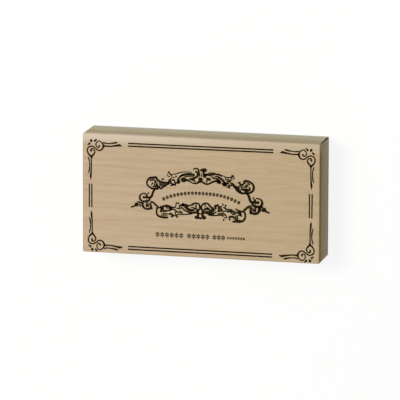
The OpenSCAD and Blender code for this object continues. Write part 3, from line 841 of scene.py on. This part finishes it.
# The knots at the two sides are alike. Each part of the right one is heavier, and lies a little off its
# mirrored place: the sum of both places along the lid comes first, and the step across it second
knot = [
    # Stem from the volute down to the knot, where it ends in a ball
    (130.2, -0.3, [
        ((90, 100, 100, 100, 90), 39.8, 28.6, 38.8, 30.3, 38.2, 32.2, 37.5, 33.2, 35.5, 33.4, 34.2, 33.4),
        spot(33.7, 33.4, 1.3),
        ((50, 55, 80, 100, 90), 34.9, 31.15, 33.3, 31.3, 32, 32.1, 31.5, 33.3, 31.7, 34.5, 32.7, 35.6),
        ((60, 65), 36.3, 30.5, 36.3, 31.5), spot(35.4, 32.3, 1.2),
        ((80, 90, 90, 90), 36.8, 33.4, 36.8, 34.6, 35.9, 35.3, 34.4, 35.5, 32.9, 35.7),
        ((40,), 35.3, 34.2, 35.6, 34.9),
    ]),
    # Lower scroll, and the stem from it to the lower volute
    (130.2, -0.4, [
        ((100, 100, 95, 95, 90, 80), 33.1, 35.9, 33.1, 37.4, 33.7, 38.9, 35.2, 39.6, 37, 39.45, 38.6,
         39.1), spot(35.4, 37.8, 1.5), ((70, 90, 90), 36.9, 36.2, 37.7, 37.5, 37.6, 39),
        ((40,), 34.3, 36.5, 35.8, 36.3), ((50,), 36.4, 37.2, 36.6, 38.6),
        ((80, 85, 85), 37.3, 35.7, 38.8, 35.9, 40.1, 37, 41.6, 38.4),
    ]),
    # Leafy tail
    (129.4, -0.7, [
        ((50, 70, 90), 26.5, 39.2, 27.8, 38.7, 29.2, 38.1), spot(29.8, 37.5, 1.9, 2.3, 50),
        spot(30.8, 36, 0.8, 1.4), ((60, 80), 31.3, 37.1, 32.1, 38.6), ((70, 80), 31, 36.3, 32.6, 36.6),
    ]),
]
for mirror, drop, strokes in knot:
    for stroke in strokes:
        cartouche += [stroke, moved(stroke, -1, mirror, 1, drop, heavier=1.2)]
printed("print_cartouche", cartouche, bold=1.26, steps=4)

# Printed hatching
# Between its bold strokes the cartouche is shaded with hatching so fine that the screen closed it: it
# prints as a thin brownish grey film, less than half as thick as the ink of the strokes.
thin_ink, tree, shader, place = new_finish("thin_screen_printing_ink")
# The same ink laid thin: the wood shows through it in spots 0.7 mm wide, and it looks brownish grey
lines = add_node(tree, "VectorMath", {0: place, 1: (1500, 1500, 700)}, operation="MULTIPLY")
lines = add_node(tree, "TexNoise", {"Vector": lines, "Scale": 1.0, "Detail": 2.0})
lines = add_node(tree, "MapRange", {"Value": lines, "From Min": 0.35, "From Max": 0.7})
colour = add_node(tree, "Mix", {0: lines, 6: linear("#5F543B"), 7: linear("#8F7F60")}, result=2,
                  data_type="RGBA")
fill(shader, {"Base Color": colour, "Roughness": 0.7, "Specular IOR Level": 0.04})

hatching = [
    # In the left volute and in the leaf beside it
    ((110,), 36.7, 23.6, 39.6, 23.4), ((190, 220), 40.3, 24.6, 40.7, 27.4),
    ((140, 180, 120), 41.8, 25.2, 43.2, 25.6, 45, 25.5), ((130,), 42.2, 27, 42.2, 28),
    # In the left scroll and its crossing
    ((100, 140), 47.4, 24.4, 48.9, 23.8), ((90,), 53.3, 22.4, 53.6, 23.8),
    ((80, 80, 60), 56, 20.7, 58.6, 20.4, 61.4, 20.4), ((90, 100), 57.6, 22.6, 59.2, 23.6),
    ((70, 80), 61.6, 22.4, 61.7, 24), ((80,), 65.7, 22.4, 65.7, 23.6),
    # In the right scroll and its crossing
    ((50, 70, 60), 69, 18.7, 71, 18.45, 73.2, 18.6), ((80, 100), 70.2, 20.4, 72.6, 20.6),
    ((110, 120), 73.8, 23.3, 76.2, 23.6), ((80,), 68.2, 22.6, 68.3, 24.2),
    ((140, 180), 79.4, 21.2, 81.4, 22.6), ((100,), 79.6, 24.5, 80.6, 24.9),
    # In the right volute
    ((100, 110, 90), 85.4, 24.9, 87.8, 24.9, 90.6, 25.1), ((110, 130), 90, 22.5, 91.9, 23.7),
    ((140,), 88.6, 27.7, 91.4, 27.5), ((100, 90), 88.9, 21.6, 90.6, 21.5),
    # In the lower left volute
    ((110, 120), 43, 38.6, 44.9, 38.7), ((90, 80), 44, 40.4, 46.6, 40.3),
    ((120, 130, 100), 43.2, 42.2, 44.8, 42.5, 46.8, 42.4), ((80, 70), 51.3, 39.4, 51, 41.8),
    ((80,), 49.8, 42.6, 51.7, 42.5), ((90,), 46, 38.4, 47.6, 38.7),
    # In the garland, to the left of the palmette and to its right
    ((110, 120), 52.2, 40.5, 55.2, 40.7), ((120,), 53, 38, 54.4, 38.2), ((190,), 55.8, 37, 58.2, 37.6),
    ((120, 110, 70), 56.2, 39, 58.6, 39.5, 62.2, 39.2), ((90,), 62.4, 35.8, 62.5, 37.7),
    ((110,), 61.8, 42.8, 64.4, 42.8), ((90, 90, 80), 66.8, 39, 70, 39.35, 72.6, 39.3),
    ((80,), 67.6, 35.6, 67.4, 37), ((140, 150), 72.5, 36.5, 72.4, 38.6),
    ((190, 210), 75.6, 36.4, 75.8, 38.8), ((110, 120), 74.4, 40.4, 78.3, 40.5),
    ((90,), 77, 38.9, 79.6, 38.4),
    # In the lower right volute
    ((110, 130), 79.2, 38.1, 82.4, 38.2), ((140,), 83.4, 38.2, 83.6, 39.8),
    ((200, 210), 84.4, 40.9, 84.6, 43.3), ((80,), 87.1, 39.6, 87.4, 41.3),
    # In the knots
    ((120,), 94.4, 31.2, 94.4, 32.8), ((180,), 93.6, 36.9, 95.4, 37), ((120,), 90.8, 36, 92.4, 36.2),
    ((100, 70), 100.2, 37, 101.8, 38), ((110,), 34.2, 31.6, 35.8, 31.8), ((150,), 35.2, 36.7, 36.6, 37),
]
printed("print_hatching", hatching, steps=2, ink=thin_ink, film=0.4)

# Printed flowers
# Two rows of small printer's flowers from the type case: one follows an arch inside the cartouche, the
# other is set below it in a straight line, in three groups with a tail of smaller flowers.
def flower(x, y, wide, tall, petal, slope=0.0):
    """The strokes of six petals round a point, each petal mm wide: the flower leans with its row."""
    lean = math.atan(slope)
    petals = []
    for angle in (30, 90, 150, 210, 270, 330):
        angle = math.radians(angle)
        side = wide / 2 * math.cos(angle) / math.cos(math.radians(30))
        rise = tall / 2 * math.sin(angle)
        end_x = side * math.cos(lean) - rise * math.sin(lean)
        end_y = side * math.sin(lean) + rise * math.cos(lean)
        run = []
        for far in (0.15, 0.6, 0.95):
            run += [x + far * end_x, y + far * end_y]
        petals.append(([40 * petal, 100 * petal, 70 * petal], *run))
    return petals


flowers = []
# The arch reaches 20.6 mm to either side of its middle, and its feet lie 4 mm below its crown
in_arch = 22
for i in range(in_arch):
    side = 2 * i / (in_arch - 1) - 1
    slope = math.copysign(0.5 * abs(side) ** 1.5, side)
    flowers += flower(65.3 + 20.6 * side, 29.7 + 4.0 * abs(side) ** 2.5, 1.6, 2.2, 0.63, slope)
# The line: where each group starts and ends, how many flowers it has, and their size
large, small = (2.2, 3.1, 0.62), (1.2, 1.7, 0.38)
for first, last, many, size in ((41.3, 54.4, 6, large), (58.7, 68.8, 5, large), (72.6, 77.4, 3, large),
                                (80.2, 88.8, 7, small)):
    for i in range(many):
        flowers += flower(first + (last - first) * i / (many - 1), 53.15, *size)
printed("print_flowers", flowers, steps=3)
bpy.data.objects.remove(nib)
